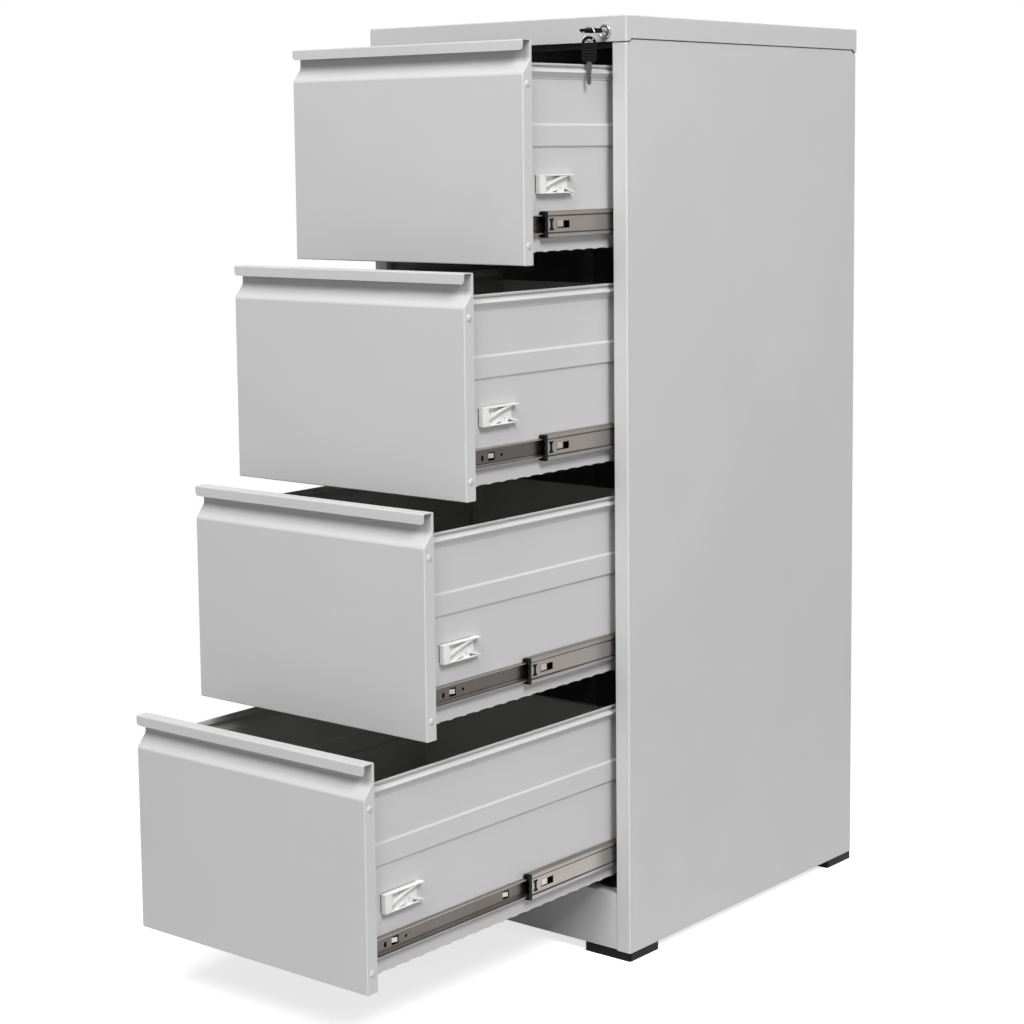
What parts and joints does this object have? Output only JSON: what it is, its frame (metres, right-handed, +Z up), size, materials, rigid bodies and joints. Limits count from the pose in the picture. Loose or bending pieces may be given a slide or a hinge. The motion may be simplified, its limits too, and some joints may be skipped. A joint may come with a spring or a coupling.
{
  "type": "filing cabinet",
  "caption": "Tall steel filing cabinet: stacked drawers with full-width finger-pull lips on telescopic runners, a plain case and cover, a corner lock with keys, low black feet.",
  "frame": {"origin": "on the floor, under the middle of the whole outline with the drawers open as pictured", "axes": "+Z up, -Y out of the front, where the drawers open, +X to the right seen from the front"},
  "size_m": [0.47, 1.1108, 1.32],
  "materials": {
    "painted_steel": "satin light grey powder coat",
    "inner_steel": "satin grey powder coat",
    "zinc_steel": "zinc plated",
    "bright_metal": "nickel plated",
    "white_plastic": "matt",
    "black_plastic": "matt"
  },
  "bodies": {
    "cabinet": {"side_panel_left": "painted_steel", "side_panel_right": "painted_steel", "back_panel": "painted_steel", "top_cover": "painted_steel", "top_rail": "painted_steel", "floor_panel": "inner_steel", "plinth_panel": "painted_steel", "runner_uprights": "inner_steel", "feet": "black_plastic", "runner_outer_members": "zinc_steel", "lock_housing": "bright_metal", "cabinet_fixings": "zinc_steel", "lock_bar_guides": "white_plastic"},
    "lock": {"lock_plug": "bright_metal", "lock_cam": "zinc_steel", "key_blade": "bright_metal", "key_head": "black_plastic"},
    "hanging_keys": {"key_ring": "bright_metal", "spare_key": "black_plastic"},
    "locking_bar": {"lock_bar": "zinc_steel"},
    "runner_1": {"runner_1_middle_members": "zinc_steel", "runner_1_cages": "black_plastic"},
    "drawer_1": {"drawer_1_front": "painted_steel", "drawer_1_inner_front": "painted_steel", "drawer_1_left_wall": "painted_steel", "drawer_1_right_wall": "painted_steel", "drawer_1_tray": "painted_steel", "drawer_1_inner_members": "zinc_steel", "drawer_1_catch": "white_plastic", "drawer_1_rivets": "painted_steel"},
    "runner_2": {"runner_2_middle_members": "zinc_steel", "runner_2_cages": "black_plastic"},
    "drawer_2": {"drawer_2_front": "painted_steel", "drawer_2_inner_front": "painted_steel", "drawer_2_left_wall": "painted_steel", "drawer_2_right_wall": "painted_steel", "drawer_2_tray": "painted_steel", "drawer_2_inner_members": "zinc_steel", "drawer_2_catch": "white_plastic", "drawer_2_rivets": "painted_steel"},
    "runner_3": {"runner_3_middle_members": "zinc_steel", "runner_3_cages": "black_plastic"},
    "drawer_3": {"drawer_3_front": "painted_steel", "drawer_3_inner_front": "painted_steel", "drawer_3_left_wall": "painted_steel", "drawer_3_right_wall": "painted_steel", "drawer_3_tray": "painted_steel", "drawer_3_inner_members": "zinc_steel", "drawer_3_catch": "white_plastic", "drawer_3_rivets": "painted_steel"},
    "runner_4": {"runner_4_middle_members": "zinc_steel", "runner_4_cages": "black_plastic"},
    "drawer_4": {"drawer_4_front": "painted_steel", "drawer_4_inner_front": "painted_steel", "drawer_4_left_wall": "painted_steel", "drawer_4_right_wall": "painted_steel", "drawer_4_tray": "painted_steel", "drawer_4_inner_members": "zinc_steel", "drawer_4_catch": "white_plastic", "drawer_4_rivets": "painted_steel"}
  },
  "joints": [
    {"name": "lock_turn", "type": "hinge", "parent": "cabinet", "child": "lock", "pos_m": [0.2, -0.0446, 1.299], "axis": [0, -1, 0], "range_deg": [0, 90]},
    {"name": "keys_hang", "type": "hinge", "parent": "lock", "child": "hanging_keys", "pos_m": [0.2063, -0.0896, 1.2934], "axis": [0, -1, 0], "range_deg": [-63, 0]},
    {"name": "bar_slide", "type": "slide", "parent": "cabinet", "child": "locking_bar", "axis": [0, 0, -1], "range_m": [0, 0.008]},
    {"name": "runner_1_slide", "type": "slide", "parent": "cabinet", "child": "runner_1", "axis": [0, -1, 0], "range_m": [-0.152, 0.088]},
    {"name": "drawer_1_slide", "type": "slide", "parent": "runner_1", "child": "drawer_1", "axis": [0, -1, 0], "range_m": [-0.038, 0.2985]},
    {"name": "runner_2_slide", "type": "slide", "parent": "cabinet", "child": "runner_2", "axis": [0, -1, 0], "range_m": [-0.157, 0.083]},
    {"name": "drawer_2_slide", "type": "slide", "parent": "runner_2", "child": "drawer_2", "axis": [0, -1, 0], "range_m": [-0.155, 0.1815]},
    {"name": "runner_3_slide", "type": "slide", "parent": "cabinet", "child": "runner_3", "axis": [0, -1, 0], "range_m": [-0.196, 0.044]},
    {"name": "drawer_3_slide", "type": "slide", "parent": "runner_3", "child": "drawer_3", "axis": [0, -1, 0], "range_m": [-0.199, 0.1375]},
    {"name": "runner_4_slide", "type": "slide", "parent": "cabinet", "child": "runner_4", "axis": [0, -1, 0], "range_m": [-0.199, 0.041]},
    {"name": "drawer_4_slide", "type": "slide", "parent": "runner_4", "child": "drawer_4", "axis": [0, -1, 0], "range_m": [-0.313, 0.0235]}
  ],
  "couplings": [
    {"joint": "lock_turn", "follows": "bar_slide", "rad_per_m": 196.35},
    {"joint": "keys_hang", "follows": "bar_slide", "rad_per_m": -133.52}
  ]
}
